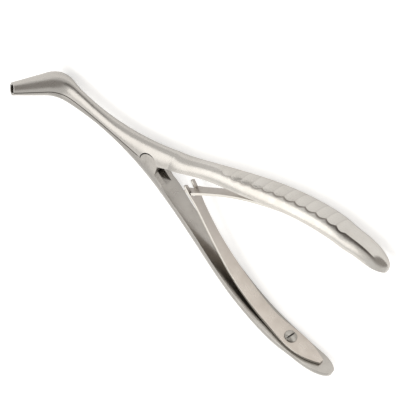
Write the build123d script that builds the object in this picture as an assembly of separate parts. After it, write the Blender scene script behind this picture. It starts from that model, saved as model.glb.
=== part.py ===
from build123d import *
import math
import os

os.makedirs("parts", exist_ok=True)

# Nasal speculum, in millimetres. While it is built the pin axis is Z through the origin,
# the handles point along +X, the branches open along Y and the blades turn up towards +Z.

# Overall sizes
handle_reach = 92.8          # pin axis to the handle ends
handle_spread = 37.5         # mid-plane to the widest point of a handle's outer face
grip_thickness = 5.9         # inner face to outer face, measured across the handles
grip_half_width = 5.1        # half the width of a handle at the grip
shaft_reach = 44.5           # pin axis to the middle of the funnel's mouth
joint_half_breadth = 8.3     # mid-plane to the outer face at the pin
joint_half_height = 3.5      # half the height of the closed joint

# Blades: two half funnels that close to an oval, tapered tube
blade_length = 19.0          # mouth to tip along the funnel's axis
blade_angle = 60.4           # between the shaft line and the funnel's axis, degrees
mouth_drop = 1.6             # mouth's middle below the plane of the handles
mouth_half_breadth = 5.25    # across the opening direction
mouth_half_height = 4.4
tip_half_breadth = 2.75
tip_half_height = 2.1
mouth_wall = 0.9
tip_wall = 0.8
bend_radius = 10.3           # of the inner line between shaft and funnel
bend_reach = 36.5            # pin axis to the middle of that arc
bend_rise = 12.5             # and that far above the plane of the handles

# Joint: two ears on the lower branch hold the tongue of the upper branch
pin_radius = 1.3
pin_play = 0.04              # running clearance of the pin in the tongue, radial
ear_radius = 3.7             # rounded end of the ears and of the tongue
ear_rise = 0.5               # middle of that round end beyond the pin axis
ear_shift = 0.35             # and towards the handles
tongue_half_height = 1.4
side_play = 0.06             # between the tongue's flat sides and the ears
end_play = 0.2               # round the ends of the ears and of the tongue
opening_angle = 22.0         # travel of the handles from rest, degrees
slot_reach = 9.4             # pin axis to the end of the saw slot for the tongue
slot_depth = 5.1             # mid-plane to the slot's floor

# Leaf springs
leaf_thickness = 1.0
leaf_half_width = 4.1        # at the widest place, beside the screw
leaf_seat_gap = 0.15         # between a leaf and the curved inner face under it
leaf_cross_reach = 17.6      # pin axis to the place where the leaves cross
leaf_cross_angle = 41.0      # slope of a leaf there, degrees
leaf_tip_length = 2.8        # crossing to the free end
fork_half_gap = 1.25         # half the gap between the two prongs
fork_root = 1.3              # gap's round end starts this far from the crossing
tongue_play = 0.25           # each side of the other leaf's tongue in the fork
shoulder_start = 1.3         # from the crossing to the tongue's shoulders

# Screws
screw_shank_radius = 1.4
screw_depth = 3.2            # into the handle
screw_hole_play = 0.1        # round the shank in the leaf
screw_lean = 3.6             # slope of the inner face under the screw, degrees
head_radius = 2.4
head_height = 1.1
head_crown = 0.8             # height of the domed part
head_seat_gap = 0.05         # between the head and the hollow face of the leaf
driver_slot_width = 0.6
driver_slot_depth = 0.6
driver_slot_turn = 9.0       # degrees off the handle's cross direction

# Steps and angles
strip_steps = 40             # along a leaf
seat_end_stations = 2        # stations of the handle's round end that a leaf follows
right_angle = 90.0
half_turn = 180.0
upper_side, lower_side = 1, -1

overrun = 12.0               # how far cutting shapes run past what they cut
lap = 1.2                    # how far the joint's cutting shapes run past the mid-plane

# Ovals across the bend: turn, half breadth and half height, as shares
bend_shares = (              # of blade_angle, mouth_half_breadth, bend_radius
    (0.877, 0.867, 0.3615),
    (0.662, 0.943, 0.403),
    (0.447, 0.981, 0.3785),
    (0.224, 0.943, 0.2865),
    (0.0, 0.857, 0.2235),
)
# Stations along a branch: place, outer face, thickness and half width, as shares
shaft_shares = (             # of shaft_reach, joint_half_breadth, joint_half_height
    (-0.674, 0.460, 0.589),
    (-0.404, 0.465, 0.714),
    (-0.180, 0.689, 0.869),
    (0.0, 1.0, 1.0),
)
screw_shares = (0.789, 0.9995, 0.959, 0.965)
handle_shares = (            # of handle_reach, handle_spread, grip_thickness, grip_half_width
    (0.086, 0.310, 1.180, 0.671),
    (0.216, 0.469, 0.990, 0.678),
    (0.345, 0.643, 1.078, 0.808),
    (0.474, 0.797, 1.081, 0.965),
    (0.603, 0.917, 0.998, 1.0),
    (0.697, 0.9775, 0.983, 1.0),
    screw_shares,
    (0.862, 0.998, 0.914, 0.900),
    (0.890, 0.997, 0.900, 0.872),
)
end_turn_shares = (0.30, 0.55, 0.76, 0.91)   # of the quarter turn that rounds the end
end_spread_share = 0.970     # outer face at the handle's end, in handle_spread
end_inset_share = 0.834      # inner face there, in handle_spread

# Leaf: rise of its face towards the handle at the first handle stations after the joint,
# in the rise of the inner face there
leaf_rise_shares = (0.185, 0.724, 0.910, 0.968, 0.990)
leaf_width_shares = (        # half width, in handle_reach and leaf_half_width
    (0.140, 0.610),
    (0.190, 0.610),
    (0.216, 0.500),
    (0.323, 0.500),
    (0.377, 0.527),
    (0.442, 0.651),
    (0.540, 0.732),
    (0.646, 0.740),
    (0.711, 0.780),
    (0.765, 0.927),
    (0.819, 1.000),
    (0.869, 0.878),
    (0.905, 0.610),
    (0.944, 0.240),
)


def handle_station(shares):
    """Place, inner face, thickness and half width of a handle."""
    place, spread, thick, width = shares
    thickness = thick * grip_thickness
    return (place * handle_reach, spread * handle_spread - thickness, thickness,
            width * grip_half_width)


def end_station(turn_share):
    """The handle's end closes in along a quarter round, seen from any side."""
    x, inner, thickness, width = handle_station(handle_shares[-1])
    angle = math.radians(turn_share * right_angle)
    along, left = math.sin(angle), math.cos(angle)
    end_inner = end_inset_share * handle_spread
    end_thickness = (end_spread_share - end_inset_share) * handle_spread
    return (x + (handle_reach - x) * along, inner + (end_inner - inner) * along,
            (thickness + (end_thickness - thickness) * along) * math.sqrt(left), width * left)


def oval(centre, half_breadth, half_height, turn=0):
    """Oval across the branch, square to X or turned up towards the funnel's axis."""
    angle = math.radians(turn)
    plane = Plane(origin=centre, x_dir=(0, -1, 0), z_dir=(math.cos(angle), 0, -math.sin(angle)))
    return plane * Ellipse(half_breadth, half_height)


def handle_oval(station):
    x, inner, thickness, width = station
    return oval((x, inner, 0), thickness, width)


def shaft_oval(place, breadth, height):
    return oval((place * shaft_reach, 0, 0), breadth * joint_half_breadth,
                height * joint_half_height)


def funnel_oval(along, inside=False):
    """Oval across the funnel at a distance from its mouth, outside or inside its wall."""
    angle = math.radians(blade_angle)
    axis = Vector(-math.cos(angle), 0, math.sin(angle))
    share = along / blade_length
    wall = mouth_wall + (tip_wall - mouth_wall) * share if inside else 0
    breadth = mouth_half_breadth + (tip_half_breadth - mouth_half_breadth) * share
    height = mouth_half_height + (tip_half_height - mouth_half_height) * share
    centre = Vector(-shaft_reach, 0, -mouth_drop) + axis * along
    return oval(centre, breadth - wall, height - wall, blade_angle)


def bend_oval(turn_share, breadth, height):
    """One of the ovals that fan round the middle of the bend's inner arc."""
    turn = turn_share * blade_angle
    angle = math.radians(turn)
    outwards = Vector(-math.sin(angle), 0, -math.cos(angle))
    half_height = height * bend_radius
    centre = Vector(-bend_reach, 0, bend_rise) + outwards * (bend_radius + half_height)
    return oval(centre, breadth * mouth_half_breadth, half_height, turn)


def full_blank():
    """Funnel, bend, shaft and handle in oval sections, bored but not yet split."""
    stations = [handle_station(s) for s in handle_shares]
    bend = [bend_oval(*s) for s in bend_shares]
    shaft = bend[-1:] + [shaft_oval(*s) for s in shaft_shares] + [handle_oval(stations[0])]
    stations += [end_station(s) for s in end_turn_shares]
    bore = loft([funnel_oval(blade_length + lap, True), funnel_oval(-overrun, True)])
    front = loft(shaft) + loft(bend) + loft([funnel_oval(blade_length), bend[0]]) - bore
    return front + loft([handle_oval(s) for s in stations])


def prism(edges, half_height):
    return extrude(make_face(edges), amount=half_height, both=True)


def gap_between_handles():
    """Everything beyond the inner face: flat along the shaft, curved along the handle."""
    stations = [handle_station(s) for s in handle_shares]
    stations += [end_station(s) for s in end_turn_shares]
    face = Spline([(0, 0)] + [(x, inner) for x, inner, thickness, width in stations])
    low, left, right = -handle_spread, -handle_reach, handle_reach + overrun
    last = face @ 1
    return prism([
        face,
        Polyline(last, (right, last.Y), (right, low), (left, low), (left, 0), (0, 0)),
    ], handle_spread)


def round_end(radius, half_height):
    """A round end beyond the pin, on straight sides that run back past it."""
    left, right = ear_shift - radius, ear_shift + radius
    return prism([
        CenterArc((ear_shift, ear_rise), radius, 0, half_turn),
        Polyline((left, ear_rise), (left, -radius), (right, -radius), (right, ear_rise)),
    ], half_height)


def swing_room(half_height):
    """Room for a round end through its travel about the pin."""
    radius = ear_radius + end_play
    near = Vector(ear_shift, ear_rise)
    far = near.rotate(Axis.Z, opening_angle)
    start = math.degrees(math.atan2(near.Y, near.X))
    left = CenterArc(far, radius, start + opening_angle, half_turn - start)
    foot = left @ 1
    turn = math.radians(opening_angle)
    low = foot + Vector(math.sin(turn), -math.cos(turn)) * lap
    right = ear_shift + radius
    return prism([
        Polyline(foot, low, (right, -lap), (right, ear_rise)),
        CenterArc(near, radius, 0, start),
        CenterArc((0, 0), near.length + radius, start, opening_angle),
        left,
    ], half_height)


def outer_layers(shape, half_height):
    """The shape above and below a middle layer."""
    length = handle_reach + handle_reach
    return shape - Box(length, length, half_height + half_height)


def screw_plane(side):
    """On the inner face under the screw, facing the mid-plane."""
    place, inner, thickness, width = handle_station(screw_shares)
    turn = math.radians(screw_lean)
    return Plane(origin=(place, side * inner, 0), x_dir=(math.cos(turn), side * math.sin(turn), 0),
                 z_dir=(math.sin(turn), -side * math.cos(turn), 0))


def screw_hole(radius, side):
    length = screw_depth + screw_depth
    return screw_plane(side) * Cylinder(radius, length)


def upper_branch(blank):
    """Tongue between the ears, room for the ears above and below it."""
    tongue = round_end(ear_radius, tongue_half_height)
    body = blank - (gap_between_handles() - mirror(tongue, about=Plane.XZ))
    body -= outer_layers(swing_room(handle_spread), tongue_half_height)
    body -= Cylinder(pin_radius + pin_play, handle_spread)
    return body - screw_hole(screw_shank_radius, upper_side)


def lower_branch(blank):
    """Two ears, with the slot for the tongue between them."""
    slot_half = tongue_half_height + side_play
    ears = outer_layers(round_end(ear_radius, handle_spread + lap), slot_half)
    body = mirror(blank, about=Plane.XZ) - (mirror(gap_between_handles(), about=Plane.XZ) - ears)
    body -= mirror(swing_room(slot_half), about=Plane.XZ)
    body -= Box(slot_reach, slot_depth, slot_half + slot_half,
                align=(Align.MIN, Align.MAX, Align.CENTER))
    body -= Cylinder(pin_radius, handle_spread)
    return body - screw_hole(screw_shank_radius, lower_side)


def pivot_pin(blank):
    """Filed flush with the ears."""
    return Cylinder(pin_radius, handle_spread) & mirror(blank, about=Plane.XZ)


def leaf_points():
    """Face of the upper leaf towards its handle: crossing, free part and seat."""
    slope = math.radians(leaf_cross_angle)
    tip = -leaf_tip_length
    points = [(leaf_cross_reach + tip * math.cos(slope), tip * math.sin(slope)),
              (leaf_cross_reach, 0)]
    stations = [handle_station(s) for s in handle_shares[1:]]
    stations += [end_station(s) for s in end_turn_shares[:seat_end_stations]]
    for i, (x, inner, thickness, width) in enumerate(stations):
        free = i < len(leaf_rise_shares)
        points.append((x, inner * leaf_rise_shares[i] if free else inner - leaf_seat_gap))
    return points


def sideways(line, share):
    """Unit vector to the right of a line."""
    return (line % share).rotate(Axis.Z, -right_angle)


def leaf_strip():
    """Sprung strip of even thickness, as wide as its widest place."""
    face = Spline(leaf_points())
    points = [face @ 0 + sideways(face, 0) * leaf_thickness]
    for i in range(strip_steps):
        share = (i + 1) / strip_steps
        points.append(face @ share + sideways(face, share) * leaf_thickness)
    back = Spline(points)
    return prism([face, back, Line(face @ 0, back @ 0), Line(face @ 1, back @ 1)],
                 leaf_half_width + lap)


def leaf_outline():
    """Width of the leaf, seen from the mid-plane."""
    points = [(x * handle_reach, y * leaf_half_width) for x, y in leaf_width_shares]
    edge = Spline(points)
    other = Spline([(x, -y) for x, y in points])
    face = make_face([edge, other, Line(edge @ 0, other @ 0), Line(edge @ 1, other @ 1)])
    return extrude(Plane.XZ * face, amount=handle_spread, both=True)


def crossing_plane():
    """At the crossing on the upper leaf, x along it towards the handle, z along Z."""
    turn = math.radians(leaf_cross_angle)
    return Plane(origin=(leaf_cross_reach, 0, 0), x_dir=(math.cos(turn), math.sin(turn), 0))


def leaf_blank():
    blank = leaf_strip() & leaf_outline()
    return blank - screw_hole(screw_shank_radius + screw_hole_play, upper_side)


def upper_spring(blank):
    """Leaf whose end narrows to a tongue between its shoulders."""
    side = Box(overrun, overrun, leaf_half_width, align=(Align.MAX, Align.CENTER, Align.MIN))
    side = Pos(shoulder_start, 0, fork_half_gap - tongue_play) * side
    return blank - crossing_plane() * (side + mirror(side, about=Plane.XY))


def lower_spring(blank):
    """Leaf with a forked end for the tongue."""
    gap = Pos(fork_root, 0, 0) * Box(overrun, overrun, fork_half_gap + fork_half_gap,
                                     align=(Align.MAX, Align.CENTER, Align.CENTER))
    gap += Pos(fork_root, 0, 0) * Rot(right_angle, 0, 0) * Cylinder(fork_half_gap, overrun)
    return mirror(blank - crossing_plane() * gap, about=Plane.XZ)


def screw(side):
    """Domed head with a driver slot, its shank through the leaf into the handle."""
    seat = leaf_seat_gap + leaf_thickness + head_seat_gap
    top = seat + head_height
    ball = (head_radius * head_radius + head_crown * head_crown) / (head_crown + head_crown)
    bottom = (Align.CENTER, Align.CENTER, Align.MIN)
    head = Pos(0, 0, seat) * Cylinder(head_radius, head_height, align=bottom)
    head = head & Pos(0, 0, top - ball) * Sphere(ball)
    shank = Pos(0, 0, -screw_depth) * Cylinder(screw_shank_radius, screw_depth + seat, align=bottom)
    slot = Pos(0, 0, top) * Rot(0, 0, driver_slot_turn) * Box(
        driver_slot_width, overrun, driver_slot_depth + driver_slot_depth)
    return screw_plane(side) * (head + shank - slot)


blank = full_blank()
leaf = leaf_blank()
parts = {
    "upper_branch": upper_branch(blank),
    "lower_branch": lower_branch(blank),
    "pivot_pin": pivot_pin(blank),
    "upper_spring": upper_spring(leaf),
    "lower_spring": lower_spring(leaf),
    "upper_screw": screw(upper_side),
    "lower_screw": screw(lower_side),
}

# The row frame has its origin under the middle of the box, on the level it rests on
box = Compound(list(parts.values())).bounding_box()
shift = Pos(-(box.min.X + box.max.X) / 2, -(box.min.Y + box.max.Y) / 2, -box.min.Z)
for name, shape in parts.items():
    export_step(shift * shape, f"parts/{name}.step")
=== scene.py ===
import bpy
import math
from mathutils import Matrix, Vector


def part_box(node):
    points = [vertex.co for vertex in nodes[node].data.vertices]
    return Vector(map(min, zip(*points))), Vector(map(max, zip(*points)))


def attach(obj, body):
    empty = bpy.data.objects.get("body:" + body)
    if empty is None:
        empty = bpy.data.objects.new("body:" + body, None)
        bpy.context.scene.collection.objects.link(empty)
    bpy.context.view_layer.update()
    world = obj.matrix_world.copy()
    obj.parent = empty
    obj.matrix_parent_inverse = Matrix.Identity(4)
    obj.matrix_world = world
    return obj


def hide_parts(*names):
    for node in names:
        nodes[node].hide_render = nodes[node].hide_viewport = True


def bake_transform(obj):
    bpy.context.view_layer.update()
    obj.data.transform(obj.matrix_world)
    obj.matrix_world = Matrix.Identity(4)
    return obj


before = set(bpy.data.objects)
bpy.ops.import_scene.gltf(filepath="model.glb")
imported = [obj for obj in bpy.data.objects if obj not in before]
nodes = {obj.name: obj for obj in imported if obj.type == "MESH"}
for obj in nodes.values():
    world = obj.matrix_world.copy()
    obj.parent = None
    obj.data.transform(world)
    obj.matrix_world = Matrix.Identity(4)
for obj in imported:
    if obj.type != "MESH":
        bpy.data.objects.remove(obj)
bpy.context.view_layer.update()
leafLow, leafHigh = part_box("upper_spring")
screwLow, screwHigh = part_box("upper_screw")
middle = (leafLow[2] + leafHigh[2]) / 2     # height of the plane that halves the handles and leaves
mm = 0.001
tiny = 1e-6                                 # metres, for what should be the same place
scene = bpy.context.scene
scene.view_settings.view_transform = "Standard"
print("frame loaded")


# camera, at the photograph's viewing angle
view = {
    "place": (0.159713, 0.496579, 0.386453),  # metres
    "turn": (-41.85, 37.65, 16.90),           # degrees
    "lens": 167.0,
    "reach": 20,                              # metres
}

cameraData = bpy.data.cameras.new("photoCamera")
cameraData.lens = view["lens"]
cameraData.clip_end = view["reach"]
camera = bpy.data.objects.new("photoCamera", cameraData)
camera.location = view["place"]
camera.rotation_euler = [math.radians(a) for a in view["turn"]]
scene.collection.objects.link(camera)
scene.camera = camera
print("camera placed")


def newMaterial(name, colour, metallic, roughness):
    material = bpy.data.materials.new(name)
    material.use_nodes = True
    tree = material.node_tree
    shader = tree.nodes["Principled BSDF"]
    shader.inputs["Base Color"].default_value = (*colour, 1)
    shader.inputs["Metallic"].default_value = metallic
    shader.inputs["Roughness"].default_value = roughness
    return material, tree, shader


def paint(obj, material):
    obj.data.materials.clear()
    obj.data.materials.append(material)


# makers of shader nodes: each takes numbers or sockets and gives back its output
def feed(tree, value, socket):
    if isinstance(value, (int, float)):
        socket.default_value = value
    elif value is not None:
        tree.links.new(value, socket)


def maths(tree, operation, first, second=None):
    node = tree.nodes.new("ShaderNodeMath")
    node.operation = operation
    feed(tree, first, node.inputs[0])
    feed(tree, second, node.inputs[1])
    return node.outputs[0]


def product(tree, first, *others):
    for other in others:
        first = maths(tree, "MULTIPLY", first, other)
    return first


def remap(tree, value, lowIn, highIn, lowOut=0.0, highOut=1.0, smooth=True):
    node = tree.nodes.new("ShaderNodeMapRange")
    node.interpolation_type = "SMOOTHSTEP" if smooth else "LINEAR"
    for label, number in (("From Min", lowIn), ("From Max", highIn), ("To Min", lowOut), ("To Max", highOut)):
        feed(tree, number, node.inputs[label])
    feed(tree, value, node.inputs["Value"])
    return node.outputs["Result"]


def noise(tree, vector, scale, detail=3.0, roughness=0.55):
    node = tree.nodes.new("ShaderNodeTexNoise")
    node.inputs["Detail"].default_value = detail
    node.inputs["Roughness"].default_value = roughness
    feed(tree, scale, node.inputs["Scale"])
    feed(tree, vector, node.inputs["Vector"])
    return node.outputs["Fac"]


def mixColour(tree, amount, first, second):
    node = tree.nodes.new("ShaderNodeMix")
    node.data_type = "RGBA"
    tree.links.new(amount, node.inputs[0])
    for socket, colour in ((node.inputs[6], first), (node.inputs[7], second)):
        if isinstance(colour, tuple):
            socket.default_value = (*colour, 1)
        else:
            tree.links.new(colour, socket)
    return node.outputs[2]


# floor: pale paper that looks white to the camera and in the steel, and keeps the shadow
floorLook = {
    "size": 6.0,
    "colour": (0.88, 0.875, 0.865),
    "roughness": 0.9,
    "specular": 0.1,
    "lift": 0.38,                # glow that the steel reflects, not a light on the object
    "cameraLift": 0.52,          # glow that the camera sees, which keeps the shadow soft
}

bpy.ops.object.select_all(action="DESELECT")
bpy.ops.mesh.primitive_plane_add(size=floorLook["size"], location=(0, 0, 0))
floor = bpy.context.object
floor.name = "floor"
paper, paperTree, paperShader = newMaterial("whitePaper", floorLook["colour"], 0, floorLook["roughness"])
paperShader.inputs["Specular IOR Level"].default_value = floorLook["specular"]
paperShader.inputs["Emission Color"].default_value = (1, 1, 1, 1)
rays = paperTree.nodes.new("ShaderNodeLightPath")
glow = maths(paperTree, "MAXIMUM", product(paperTree, rays.outputs["Is Camera Ray"], floorLook["cameraLift"]),
             product(paperTree, rays.outputs["Is Glossy Ray"], floorLook["lift"]))
paperTree.links.new(glow, paperShader.inputs["Emission Strength"])
paint(floor, paper)
print("floor laid")


# light: a pale room with a dim side where the camera stands, a large soft box and a fill
room = {
    "pale": (0.86, 0.85, 0.83),
    # azimuth from +X towards +Y, height, degrees from the middle where it starts and is full, colour
    "dimParts": ((36, 30, 48, 27, (0.40, 0.38, 0.36)),
                 (98, 48, 22, 7, (0.16, 0.145, 0.135))),
    # azimuth, height, distance, size, power
    "softBox": (190, 66, 1.25, 1.06, 3.0),
    "fill": (262, 42, 1.25, 0.8, 0.8),
    "lampColour": (1.0, 0.985, 0.955),
}


def heading(azimuth, height):
    a, h = math.radians(azimuth), math.radians(height)
    return (math.cos(h) * math.cos(a), math.cos(h) * math.sin(a), math.sin(h))


world = bpy.data.worlds.new("paleRoom")
scene.world = world
world.use_nodes = True
worldTree = world.node_tree
sky = worldTree.nodes["Background"]
where = worldTree.nodes.new("ShaderNodeTexCoord")
wallColour = room["pale"]
for azimuth, height, outerEdge, innerEdge, dim in room["dimParts"]:
    towards = worldTree.nodes.new("ShaderNodeVectorMath")
    towards.operation = "DOT_PRODUCT"
    towards.inputs[1].default_value = heading(azimuth, height)
    worldTree.links.new(where.outputs["Generated"], towards.inputs[0])
    dimness = remap(worldTree, towards.outputs["Value"], math.cos(math.radians(outerEdge)),
                    math.cos(math.radians(innerEdge)))
    wallColour = mixColour(worldTree, dimness, wallColour, dim)
worldTree.links.new(wallColour, sky.inputs["Color"])

for lampName in ("softBox", "fill"):
    azimuth, height, distance, size, power = room[lampName]
    lampData = bpy.data.lights.new(lampName, "AREA")
    lampData.shape = "DISK"
    lampData.size = size
    lampData.energy = power
    lampData.color = room["lampColour"]
    lamp = bpy.data.objects.new(lampName, lampData)
    lamp.location = [distance * c for c in heading(azimuth, height)]
    lamp.rotation_euler = (-lamp.location).to_track_quat("-Z", "Y").to_euler()
    scene.collection.objects.link(lamp)
print("lights set")


# node groups: each effect that several steels share
def newGroup(name, inputs, outputs):
    group = bpy.data.node_groups.new(name, "ShaderNodeTree")
    for label, kind, value in inputs:
        socket = group.interface.new_socket(label, in_out="INPUT", socket_type=kind)
        if value is not None:
            socket.default_value = value
    for label, kind in outputs:
        group.interface.new_socket(label, in_out="OUTPUT", socket_type=kind)
    return group, group.nodes.new("NodeGroupInput"), group.nodes.new("NodeGroupOutput")


# polishing lines, fine and coarse together, along the long side of a stretched space
polish = {
    "fine": 0.6,                 # how much each kind of line counts
    "coarse": 0.4,
    "coarseDensity": 0.3,        # in the density of the fine lines
    "fineDetail": 4.0,
    "fineRough": 0.6,
    "coarseDetail": 2.0,
    "range": (0.3, 0.7),
}
lineGroup, lineIn, lineOut = newGroup(
    "polishLines",
    [("Vector", "NodeSocketVector", None), ("Density", "NodeSocketFloat", 900.0)],
    [("Lines", "NodeSocketFloat")])
fineLines = noise(lineGroup, lineIn.outputs["Vector"], lineIn.outputs["Density"],
                  polish["fineDetail"], polish["fineRough"])
coarseDensity = product(lineGroup, lineIn.outputs["Density"], polish["coarseDensity"])
coarseLines = noise(lineGroup, lineIn.outputs["Vector"], coarseDensity, polish["coarseDetail"])
both = maths(lineGroup, "ADD", product(lineGroup, fineLines, polish["fine"]),
             product(lineGroup, coarseLines, polish["coarse"]))
lineGroup.links.new(remap(lineGroup, both, *polish["range"]), lineOut.inputs["Lines"])

# what hands and trays leave: cloudy smudges and a few hairline scratches
handling = {
    "smudges": (0.38, 0.68),
    "scratchScale": 260,
    "scratchWidth": 0.035,       # in the distance to a cell's edge
    "patchScale": 90.0,          # scratches come in patches
    "patchDetail": 1.0,
    "patches": (0.55, 0.7),
}
wearGroup, wearIn, wearOut = newGroup(
    "handlingWear",
    [("Vector", "NodeSocketVector", None), ("Cloud Size", "NodeSocketFloat", 130.0)],
    [("Smudges", "NodeSocketFloat"), ("Scratches", "NodeSocketFloat")])
clouds = noise(wearGroup, wearIn.outputs["Vector"], wearIn.outputs["Cloud Size"])
wearGroup.links.new(remap(wearGroup, clouds, *handling["smudges"]), wearOut.inputs["Smudges"])
hair = wearGroup.nodes.new("ShaderNodeTexVoronoi")
hair.feature = "DISTANCE_TO_EDGE"
hair.inputs["Scale"].default_value = handling["scratchScale"]
wearGroup.links.new(wearIn.outputs["Vector"], hair.inputs["Vector"])
patches = noise(wearGroup, wearIn.outputs["Vector"], handling["patchScale"], handling["patchDetail"])
patches = remap(wearGroup, patches, *handling["patches"])
hairLine = remap(wearGroup, hair.outputs["Distance"], 0.0, handling["scratchWidth"], 1.0, 0.0)
wearGroup.links.new(product(wearGroup, hairLine, patches), wearOut.inputs["Scratches"])

# grip flats: the look of shallow scallops across the crown of each handle, as shading only, with painted
# shade in their colour
grip = {
    "start": 3 * mm,             # along X, from the middle of the instrument
    "full": 15 * mm,
    "lastScallop": 58 * mm,
    "end": 71 * mm,
    "pitch": 4.1 * mm,
    "slant": 0.25,
    "firstWidth": 0.9 * mm,      # half widths where the cuts start and where they are full
    "halfWidth": 2.55 * mm,
    "bulge": 0.55 * mm,          # of each scallop past the half width
    "edge": 0.14 * mm,
    "scallopFade": 3 * mm,       # runs over which the scallops, then the cuts, die out
    "endFade": 5 * mm,
    "outer": (0.15, 0.35),       # how squarely a surface has to face outwards
    "tilt": 0.11,
    "step": 0.75 * mm,           # width of the painted shade along the step, and how dark it starts and ends
    "stepFull": 42.6 * mm,
    "stepShades": (0.25, 0.9),
    "creaseFrom": 0.38,          # in the pitch, from the middle of a scallop
    "crease": 0.16,
    "oneSide": 0.18,
}
halfPitch = 0.5                  # a scallop's middle, in its own pitch
gripGroup, gripIn, gripOut = newGroup(
    "gripFlats",
    [("Position", "NodeSocketVector", None), ("Normal", "NodeSocketVector", None)],
    [("Normal", "NodeSocketVector"), ("Shade", "NodeSocketFloat"), ("Border", "NodeSocketFloat")])
place = gripGroup.nodes.new("ShaderNodeSeparateXYZ")
facing = gripGroup.nodes.new("ShaderNodeSeparateXYZ")
gripGroup.links.new(gripIn.outputs["Position"], place.inputs[0])
gripGroup.links.new(gripIn.outputs["Normal"], facing.inputs[0])
alongX = place.outputs["X"]
rise = maths(gripGroup, "SUBTRACT", place.outputs["Z"], middle)
slanted = maths(gripGroup, "ADD", alongX, product(gripGroup, rise, grip["slant"]))
count = maths(gripGroup, "DIVIDE", slanted, grip["pitch"])
across = maths(gripGroup, "SUBTRACT", maths(gripGroup, "FRACT", count), halfPitch)
fade = remap(gripGroup, alongX, grip["lastScallop"] - grip["scallopFade"], grip["lastScallop"], 1.0, 0.0)
belly = maths(gripGroup, "COSINE", product(gripGroup, across, math.pi))
cutWidth = remap(gripGroup, alongX, grip["start"], grip["full"],
                 grip["firstWidth"], grip["halfWidth"], smooth=False)
reach = maths(gripGroup, "ADD", product(gripGroup, belly, fade, grip["bulge"]), cutWidth)
within = maths(gripGroup, "SUBTRACT", reach, maths(gripGroup, "ABSOLUTE", rise))
inside = remap(gripGroup, within, -grip["edge"], grip["edge"])
run = product(gripGroup, remap(gripGroup, alongX, grip["start"], grip["full"]),
              remap(gripGroup, alongX, grip["end"] - grip["endFade"], grip["end"], 1.0, 0.0))
outwards = product(gripGroup, maths(gripGroup, "SIGN", place.outputs["Y"]), facing.outputs["Y"])
outer = remap(gripGroup, outwards, *grip["outer"])
mask = product(gripGroup, inside, run, outer)
# a cut surface stands upright, and leans a little to either side of a scallop
flat = gripGroup.nodes.new("ShaderNodeCombineXYZ")
gripGroup.links.new(facing.outputs["X"], flat.inputs["X"])
gripGroup.links.new(facing.outputs["Y"], flat.inputs["Y"])
lean = product(gripGroup, across, fade, grip["tilt"])
along = gripGroup.nodes.new("ShaderNodeCombineXYZ")
gripGroup.links.new(product(gripGroup, facing.outputs["Y"], lean, -1.0), along.inputs["X"])
gripGroup.links.new(product(gripGroup, facing.outputs["X"], lean), along.inputs["Y"])
leaning = gripGroup.nodes.new("ShaderNodeVectorMath")
leaning.operation = "ADD"
gripGroup.links.new(flat.outputs[0], leaning.inputs[0])
gripGroup.links.new(along.outputs[0], leaning.inputs[1])
unit = gripGroup.nodes.new("ShaderNodeVectorMath")
unit.operation = "NORMALIZE"
gripGroup.links.new(leaning.outputs[0], unit.inputs[0])
chosen = gripGroup.nodes.new("ShaderNodeMix")
chosen.data_type = "VECTOR"
gripGroup.links.new(mask, chosen.inputs[0])
gripGroup.links.new(gripIn.outputs["Normal"], chosen.inputs[4])
gripGroup.links.new(unit.outputs[0], chosen.inputs[5])
gripGroup.links.new(chosen.outputs[1], gripOut.inputs["Normal"])
# painted shade: a dark line along the step below the flats
step = product(gripGroup, remap(gripGroup, within, -grip["step"], -grip["edge"]),
               remap(gripGroup, within, -grip["edge"], grip["edge"], 1.0, 0.0),
               remap(gripGroup, alongX, grip["start"], grip["stepFull"], *grip["stepShades"]))
gripGroup.links.new(product(gripGroup, step, run, outer), gripOut.inputs["Border"])
# painted shade: each scallop is a little darker to one side, and darkest in the crease to the next
crease = remap(gripGroup, maths(gripGroup, "ABSOLUTE", across), grip["creaseFrom"], halfPitch)
oneSide = product(gripGroup, maths(gripGroup, "ADD", across, halfPitch), grip["oneSide"])
shade = maths(gripGroup, "ADD", product(gripGroup, crease, grip["crease"]), oneSide)
gripGroup.links.new(product(gripGroup, shade, fade, mask), gripOut.inputs["Shade"])
print("effects built")


steel = {
    "lines": 0.6,                # how much lines and smudges change the gloss
    "smudges": 0.4,
    "soilAndShadeSamples": 8,
    "soilAndShadeFrom": (0.35, 0.85),    # in the openness of a place
    "soilAndShadeRough": 0.2,
    "edgeFacing": (0.45, 0.8),   # how squarely a leaf's edge faces up or down
}


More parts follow.
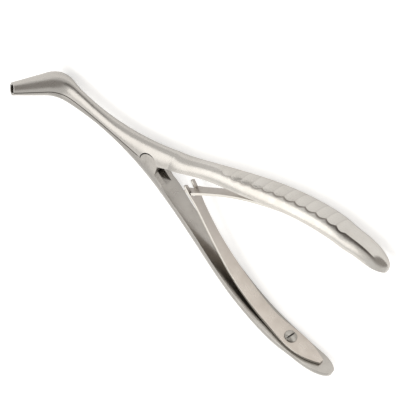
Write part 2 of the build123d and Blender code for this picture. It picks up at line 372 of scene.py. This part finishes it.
def steelMaterial(name, look, forged=None):
    material, tree, shader = newMaterial(name, look["colour"], 1, look["roughness"])
    spot = tree.nodes.new("ShaderNodeTexCoord").outputs["Object"]
    stretch = tree.nodes.new("ShaderNodeMapping")
    stretch.inputs["Rotation"].default_value = [math.radians(a) for a in look["lineTurn"]]
    stretch.inputs["Scale"].default_value = look["lineScale"]
    tree.links.new(spot, stretch.inputs["Vector"])
    lines = tree.nodes.new("ShaderNodeGroup")
    lines.node_tree = lineGroup
    lines.inputs["Density"].default_value = look["density"]
    tree.links.new(stretch.outputs[0], lines.inputs["Vector"])
    wear = tree.nodes.new("ShaderNodeGroup")
    wear.node_tree = wearGroup
    wear.inputs["Cloud Size"].default_value = look["clouds"]
    tree.links.new(spot, wear.inputs["Vector"])
    colour = mixColour(tree, wear.outputs["Smudges"], look["colour"], look["worn"])
    # painted shade with old polish and soil: the colour darkens where two surfaces meet and in recesses
    gaps = tree.nodes.new("ShaderNodeAmbientOcclusion")
    gaps.samples = steel["soilAndShadeSamples"]
    gaps.inputs["Distance"].default_value = look["soilAndShadeReach"]
    soilAndShade = remap(tree, gaps.outputs["AO"], *steel["soilAndShadeFrom"], look["soilAndShade"], 0.0)
    gloss = maths(tree, "ADD", product(tree, lines.outputs["Lines"], steel["lines"]),
                  product(tree, wear.outputs["Smudges"], steel["smudges"]))
    gloss = remap(tree, gloss, 0.0, 1.0, look["roughness"] - look["spread"],
                  look["roughness"] + look["spread"], smooth=False)
    bump = tree.nodes.new("ShaderNodeBump")
    bump.inputs["Strength"].default_value = look["bump"]
    bump.inputs["Distance"].default_value = look["depth"]
    scratches = product(tree, wear.outputs["Scratches"], look["scratch"])
    tree.links.new(maths(tree, "SUBTRACT", lines.outputs["Lines"], scratches), bump.inputs["Height"])
    along = tree.nodes.new("ShaderNodeSeparateXYZ")
    tree.links.new(spot, along.inputs[0])
    if "foreShadeAndDull" in look:
        # painted shade and duller satin: towards the blades the colour is darker, and the satin is duller
        # than where hands polish it
        foreShadeAndDull = remap(tree, along.outputs["X"], look["foreFrom"], look["foreTo"], 1.0, 0.0)
        colour = mixColour(tree, foreShadeAndDull, colour, look["foreShadeAndDull"])
        gloss = maths(tree, "ADD", gloss, product(tree, foreShadeAndDull, look["foreRough"]))
    skin = tree.nodes.new("ShaderNodeNewGeometry").outputs["Normal"]
    lay = tree.nodes.new("ShaderNodeSeparateXYZ")
    tree.links.new(skin, lay.inputs[0])
    if "edgeHighlightColour" in look:
        # painted highlight: the narrow edges of a leaf are made brighter
        edge = remap(tree, maths(tree, "ABSOLUTE", lay.outputs["Z"]), *steel["edgeFacing"])
        colour = mixColour(tree, edge, colour, look["edgeHighlightColour"])
    if forged:
        # painted shade with soil: a dark line where the two blades close on each other
        offSeam = maths(tree, "ABSOLUTE", along.outputs["Y"])
        near = remap(tree, offSeam, forged["seamCore"], forged["seam"], 1.0, 0.0)
        ahead = remap(tree, along.outputs["X"], forged["seamEnd"] - forged["seamFade"],
                      forged["seamEnd"], 1.0, 0.0)
        # the flat faces inside the seam get none of this painted shade
        outside = remap(tree, maths(tree, "ABSOLUTE", lay.outputs["Y"]), *forged["seamFacing"], 1.0, 0.0)
        seam = product(tree, near, ahead, outside)
        soilAndShade = maths(tree, "MAXIMUM", soilAndShade, seam)
        flats = tree.nodes.new("ShaderNodeGroup")
        flats.node_tree = gripGroup
        tree.links.new(spot, flats.inputs["Position"])
        tree.links.new(skin, flats.inputs["Normal"])
        tree.links.new(flats.outputs["Normal"], bump.inputs["Normal"])
        # painted shade of the scallops
        colour = mixColour(tree, flats.outputs["Shade"], colour, forged["creaseShadeColour"])
        # painted shade along the step below the flats
        colour = mixColour(tree, flats.outputs["Border"], colour, forged["stepShadeColour"])
    tree.links.new(mixColour(tree, soilAndShade, colour, look["soilAndShadeColour"]), shader.inputs["Base Color"])
    gloss = maths(tree, "ADD", gloss, product(tree, soilAndShade, steel["soilAndShadeRough"]))
    tree.links.new(gloss, shader.inputs["Roughness"])
    tree.links.new(bump.outputs["Normal"], shader.inputs["Normal"])
    return material


# steels: satin branches, brushed leaves, turned screws, filed pin
branchLook = {
    "colour": (0.61, 0.59, 0.56), "worn": (0.57, 0.545, 0.51),
    "roughness": 0.24, "spread": 0.04, "clouds": 150,
    "lineTurn": (0, 0, 0), "lineScale": (1.0, 0.35, 0.12), "density": 1100,
    "bump": 0.07, "depth": 0.02 * mm, "scratch": 0.6,
    "soilAndShade": 0.75, "soilAndShadeReach": 0.5 * mm, "soilAndShadeColour": (0.06, 0.052, 0.045),
    "foreShadeAndDull": (0.49, 0.47, 0.445), "foreFrom": -25 * mm, "foreTo": 22 * mm, "foreRough": 0.04,
}
# painted shade: the lower branch is the same steel as the upper, made darker
shadedLowerLook = dict(branchLook, colour=(0.50, 0.48, 0.45), worn=(0.46, 0.435, 0.405), foreShadeAndDull=(0.43, 0.41, 0.385))
forged = {
    "seam": 0.3 * mm, "seamCore": 0.15 * mm, "seamEnd": -22 * mm, "seamFade": 2 * mm,
    "seamFacing": (0.55, 0.8),
    "creaseShadeColour": (0.30, 0.28, 0.255), "stepShadeColour": (0.20, 0.175, 0.155),
}
leafLook = {
    "colour": (0.61, 0.56, 0.51), "worn": (0.56, 0.51, 0.46),
    "roughness": 0.30, "spread": 0.05, "clouds": 190,
    "lineTurn": (0, 0, -35), "lineScale": (0.08, 1.0, 1.0), "density": 1300,
    "bump": 0.2, "depth": 0.02 * mm, "scratch": 0.8,
    "soilAndShade": 0.6, "soilAndShadeReach": 0.2 * mm, "soilAndShadeColour": (0.12, 0.10, 0.085),
    "foreShadeAndDull": (0.46, 0.425, 0.395), "foreFrom": 6 * mm, "foreTo": 30 * mm, "foreRough": 0.03,
    "edgeHighlightColour": (0.72, 0.69, 0.64),
}
screwLook = {
    "colour": (0.46, 0.445, 0.415), "worn": (0.38, 0.36, 0.33),
    "roughness": 0.28, "spread": 0.06, "clouds": 400,
    "lineTurn": (0, 0, 4), "lineScale": (1.0, 1.0, 0.3), "density": 1800,
    "bump": 0.3, "depth": 0.02 * mm, "scratch": 0.8,
    "soilAndShade": 0.95, "soilAndShadeReach": 0.9 * mm, "soilAndShadeColour": (0.05, 0.044, 0.038),
}
pinLook = dict(screwLook, colour=(0.43, 0.41, 0.385), worn=(0.38, 0.36, 0.335), roughness=0.30,
               lineScale=(1.0, 0.2, 1.0), density=1500)

branchSteel = steelMaterial("branchSteel", branchLook, forged)
shadedLowerSteel = steelMaterial("shadedLowerBranchSteel", shadedLowerLook, forged)
leafSteel = steelMaterial("leafSteel", leafLook)
screwSteel = steelMaterial("screwSteel", screwLook)
pinSteel = steelMaterial("pinSteel", pinLook)
paint(nodes["upper_branch"], branchSteel)
paint(nodes["lower_branch"], shadedLowerSteel)
paint(nodes["pivot_pin"], pinSteel)
for half in ("upper", "lower"):
    paint(nodes[half + "_screw"], screwSteel)
    paint(nodes[half + "_spring"], leafSteel)
print("steels given")


# screws: a domed head with a driver slot right across it
screw = {
    "lean": 3.6,                 # degrees
    "shank": 1.4 * mm,
    "depth": 3.2 * mm,           # of the shank in the handle
    "seat": 1.2 * mm,            # from the handle to the head
    "head": 2.4 * mm,
    "skirt": 0.3 * mm,
    "crown": 0.8 * mm,
    "slotWide": 0.62 * mm,
    "slotDeep": 0.95 * mm,
    "slotLong": 8 * mm,
    "slotTurn": -9,              # degrees
    "rings": (2.2, 1.8, 1.3, 0.7),  # radii on the dome, mm
    "sides": 48,
    "round": 0.07 * mm,
    "roundFrom": 40,             # degrees
    "sharpFrom": 35,
    "endFacing": 0.9,            # how squarely an end face looks along the screw
}


# leaf springs: a strip drawn row by row from its free end, thickened and rounded
leaf = {
    "thick": 1.0 * mm,
    "round": 0.16 * mm,
    "roundFrom": 50,             # degrees
    "sharpFrom": 40,
    "columns": 4,                # faces across the strip
    "levels": 2,
    "gap": 1.25 * mm,            # half the gap between the prongs
    "tongue": 1.0 * mm,          # half the tongue
    "slack": 0.05 * mm,          # when the rows before a root are picked
    "hole": 1.5 * mm,
    "holeSides": 42,
    "drill": 8 * mm,
    "prongRows": 6,              # rows before the gap's root
    "tongueRows": 4,             # rows before the shoulders
    # stations from the free end to the pointed seat: x, y towards the handle, half width, mm.
    # a script read them off the source's leaf, then they were thinned and rounded
    "rows": ((-3.0, -1.8, 2.6), (-2.6, -1.5, 2.6), (-1.8, -0.8, 2.55), (-0.3, 0.5, 2.5),
             (0.1, 0.9, 2.5), (0.5, 1.25, 2.4), (1.1, 1.8, 2.3), (3.0, 3.5, 1.95), (9.0, 9.0, 1.85),
             (16.0, 14.9, 2.1), (24.5, 21.0, 2.8), (33.5, 25.9, 3.0), (41.5, 29.3, 3.0),
             (47.5, 31.0, 3.1), (54.0, 31.7, 4.1), (60.0, 31.9, 4.1), (65.0, 31.9, 2.8),
             (68.6, 31.6, 1.2), (69.0, 31.55, 0.95)),
}


def pick(mesh, test, mode):
    bpy.ops.mesh.select_all(action="DESELECT")
    bpy.ops.mesh.select_mode(type=mode)
    bpy.ops.object.mode_set(mode="OBJECT")
    for item in mesh.vertices if mode == "VERT" else mesh.polygons:
        item.select = test(item)
    bpy.ops.object.mode_set(mode="EDIT")


def cut(target, tool):
    trim = target.modifiers.new("trim", "BOOLEAN")
    trim.operation = "DIFFERENCE"
    trim.object = tool
    bpy.ops.object.select_all(action="DESELECT")
    bpy.context.view_layer.objects.active = target
    target.select_set(True)
    bpy.ops.object.modifier_apply(modifier="trim")
    bpy.data.objects.remove(tool)


def toScrew(piece, side):
    # from the CAD screw's box to its axis: the head's rim and the shank's end lean with it
    lean = math.radians(screw["lean"])
    axisX = (screwLow[0] + screwHigh[0]) / 2 - math.sin(lean) * (screw["seat"] + screw["skirt"] / 2)
    axisY = screwHigh[1] - math.cos(lean) * screw["depth"] - math.sin(lean) * screw["shank"]
    piece.rotation_euler = (math.radians(90 * side), 0, lean * side)
    piece.location = (axisX, axisY * side, middle)
    bpy.ops.object.select_all(action="DESELECT")
    bpy.context.view_layer.objects.active = piece
    piece.select_set(True)
    bpy.ops.object.transform_apply(location=True, rotation=True, scale=True)


def roundEdges(piece, width, angle, segments=2):
    rounded = piece.modifiers.new("rounded", "BEVEL")
    rounded.width = width
    rounded.segments = segments
    rounded.limit_method = "ANGLE"
    rounded.angle_limit = math.radians(angle)
    bpy.ops.object.modifier_apply(modifier="rounded")


def leafStrip(name, side, forked):
    rows = leaf["rows"]
    bpy.ops.object.select_all(action="DESELECT")
    bpy.ops.mesh.primitive_grid_add(x_subdivisions=leaf["columns"], y_subdivisions=1, size=1,
                                    rotation=(0, math.radians(90), 0))
    strip = bpy.context.object
    strip.name = name
    strip.data.name = name
    bpy.ops.object.transform_apply(location=True, rotation=True, scale=True)
    mesh = strip.data
    bpy.ops.object.mode_set(mode="EDIT")
    for count, (x, y, half) in enumerate(rows):
        spot = (x * mm, y * mm * side, middle)
        if count < 2:
            # the grid's own two rows go to the free end
            centre = (0, count - 0.5, 0)
            pick(mesh, lambda v: abs(v.co.y - centre[1]) < tiny and abs(v.co.x) < tiny, "VERT")
            bpy.ops.transform.resize(value=(1, 1, 2 * half * mm), center_override=centre)
            bpy.ops.transform.translate(value=[a - b for a, b in zip(spot, centre)])
        else:
            bpy.ops.mesh.extrude_region_move(
                TRANSFORM_OT_translate={"value": [a - b for a, b in zip(spot, centre)]})
            bpy.ops.transform.resize(value=(1, 1, half / lastHalf), center_override=spot)
        centre, lastHalf = spot, half
    # the fork loses its middle, the tongue its sides
    if forked:
        root = rows[leaf["prongRows"]][0] * mm
        pick(mesh, lambda f: f.center.x < root and abs(f.center.z - middle) < leaf["gap"], "FACE")
        bpy.ops.mesh.delete(type="FACE")
    else:
        root = rows[leaf["tongueRows"]][0] * mm
        pick(mesh, lambda f: f.center.x < root and abs(f.center.z - middle) > leaf["gap"], "FACE")
        bpy.ops.mesh.delete(type="FACE")
        pick(mesh, lambda v: v.co.x < root - leaf["slack"], "VERT")
        bpy.ops.transform.resize(value=(1, 1, leaf["tongue"] / leaf["gap"]),
                                 center_override=(0, 0, middle))
    bpy.ops.object.mode_set(mode="OBJECT")
    # the strip faces its handle, so that it thickens away from it
    if sum(f.normal.y for f in mesh.polygons) * side < 0:
        bpy.ops.object.mode_set(mode="EDIT")
        bpy.ops.mesh.select_all(action="SELECT")
        bpy.ops.mesh.flip_normals()
        bpy.ops.object.mode_set(mode="OBJECT")
    smooth = strip.modifiers.new("smooth", "SUBSURF")
    smooth.levels = smooth.render_levels = leaf["levels"]
    thick = strip.modifiers.new("thick", "SOLIDIFY")
    thick.thickness = leaf["thick"]
    thick.offset = -1
    bpy.ops.object.modifier_apply(modifier="smooth")
    bpy.ops.object.modifier_apply(modifier="thick")
    bpy.ops.mesh.primitive_cylinder_add(vertices=leaf["holeSides"], radius=leaf["hole"], depth=leaf["drill"])
    drill = bpy.context.object
    toScrew(drill, side)
    cut(strip, drill)
    roundEdges(strip, leaf["round"], leaf["roundFrom"])
    bpy.ops.object.shade_smooth_by_angle(angle=math.radians(leaf["sharpFrom"]))
    paint(strip, leafSteel)
    return strip


def slottedScrew(name, side):
    bpy.ops.object.select_all(action="DESELECT")
    bpy.ops.mesh.primitive_cylinder_add(vertices=screw["sides"], radius=screw["head"], depth=screw["skirt"],
                                        location=(0, 0, screw["seat"] + screw["skirt"] / 2))
    piece = bpy.context.object
    piece.name = name
    piece.data.name = name
    bpy.ops.object.transform_apply(location=True, rotation=True, scale=True)
    mesh = piece.data
    bpy.ops.object.mode_set(mode="EDIT")
    # dome: the top face drawn in and lifted, ring by ring
    pick(mesh, lambda f: f.normal.z > screw["endFacing"], "FACE")
    ball = (screw["head"] ** 2 + screw["crown"] ** 2) / (2 * screw["crown"])
    radius, height = screw["head"], 0.0
    for ring in screw["rings"]:
        bpy.ops.mesh.inset(thickness=radius - ring * mm)
        radius = ring * mm
        lifted = math.sqrt(ball ** 2 - radius ** 2) - (ball - screw["crown"])
        bpy.ops.transform.translate(value=(0, 0, lifted - height))
        height = lifted
    # shank: the bottom face drawn in and pulled down
    pick(mesh, lambda f: f.normal.z < -screw["endFacing"], "FACE")
    bpy.ops.mesh.inset(thickness=screw["head"] - screw["shank"])
    bpy.ops.mesh.extrude_region_move(
        TRANSFORM_OT_translate={"value": (0, 0, -screw["seat"] - screw["depth"])})
    bpy.ops.object.mode_set(mode="OBJECT")
    top = screw["seat"] + screw["skirt"] + screw["crown"]
    bpy.ops.mesh.primitive_cube_add(size=1, location=(0, 0, top),
                                    rotation=(0, 0, math.radians(screw["slotTurn"])),
                                    scale=(screw["slotWide"], screw["slotLong"], 2 * screw["slotDeep"]))
    cut(piece, bpy.context.object)
    roundEdges(piece, screw["round"], screw["roundFrom"])
    bpy.ops.object.shade_smooth_by_angle(angle=math.radians(screw["sharpFrom"]))
    toScrew(piece, side)
    paint(piece, screwSteel)
    return piece


for side, node, body in ((1, "upper_screw", "upper_half"), (-1, "lower_screw", "lower_half")):
    headedScrew = slottedScrew(node.replace("_s", "S"), side)
    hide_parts(node)
    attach(headedScrew, body)
print("screws driven")

upperLeaf = leafStrip("upperLeaf", 1, False)
lowerLeaf = leafStrip("lowerLeaf", -1, True)
# each leaf takes the place of its CAD spring, and its placement goes into its mesh
for strip, node, own, other in ((upperLeaf, "upper_spring", "upper_half", "lower_half"),
                                (lowerLeaf, "lower_spring", "lower_half", "upper_half")):
    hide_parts(node)
    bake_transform(strip)
